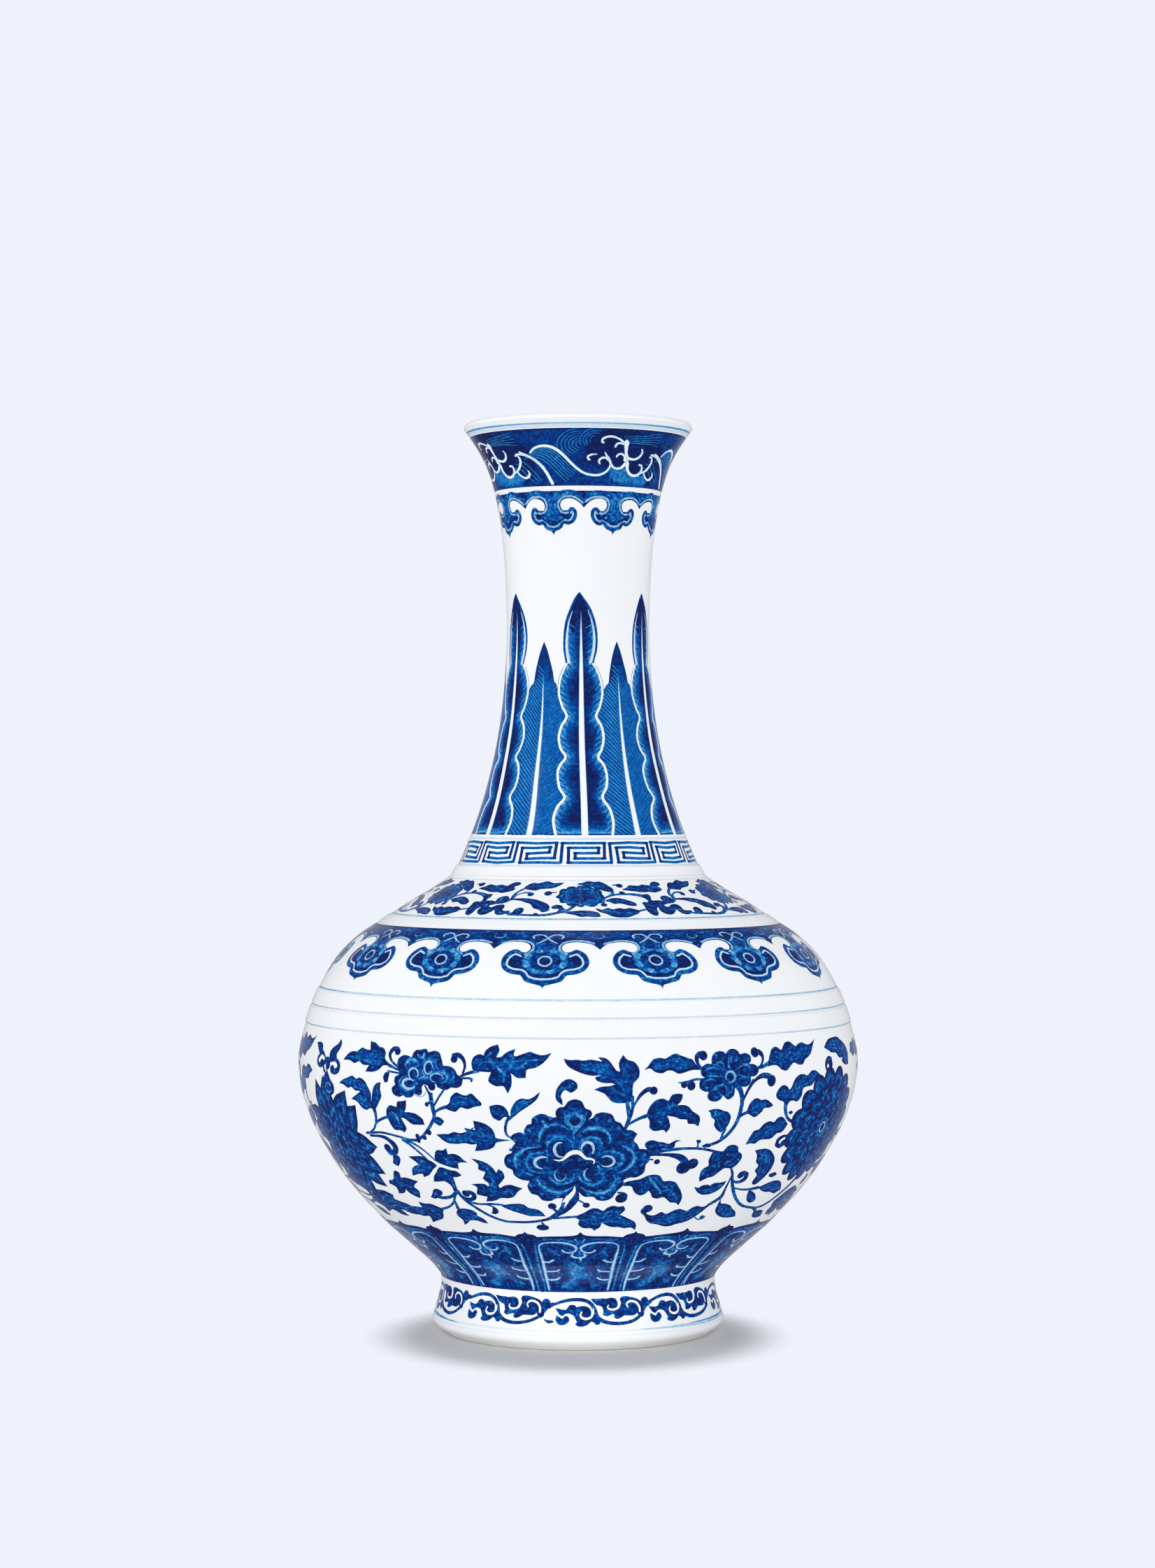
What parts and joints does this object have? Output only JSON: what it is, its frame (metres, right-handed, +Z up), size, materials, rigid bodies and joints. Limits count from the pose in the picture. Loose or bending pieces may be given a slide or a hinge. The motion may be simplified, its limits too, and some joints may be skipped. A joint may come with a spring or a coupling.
{
  "type": "porcelain bottle vase",
  "caption": "Tall porcelain bottle vase with a flared mouth, long neck, round belly and turned foot, painted in underglaze blue; thrown in sections luted with slip.",
  "frame": {"origin": "centre of the foot's flat resting ring, on the surface that the vase stands on", "axes": "+Z up along the vase's axis of revolution; +X and +Y are equal, the painted front faces -Y"},
  "size_m": [0.24, 0.24, 0.3894],
  "materials": {
    "glazed_porcelain": "clear high-gloss glaze over white porcelain, painted in cobalt blue under the glaze",
    "luting_slip": "fired porcelain slip, covered by the glaze outside"
  },
  "bodies": {
    "root": {"neck_section": "glazed_porcelain", "shoulder_section": "glazed_porcelain", "lower_bowl_section": "glazed_porcelain", "foot_ring": "glazed_porcelain", "neck_luting_slip": "luting_slip", "belly_luting_slip": "luting_slip", "foot_luting_slip": "luting_slip"}
  },
  "joints": []
}
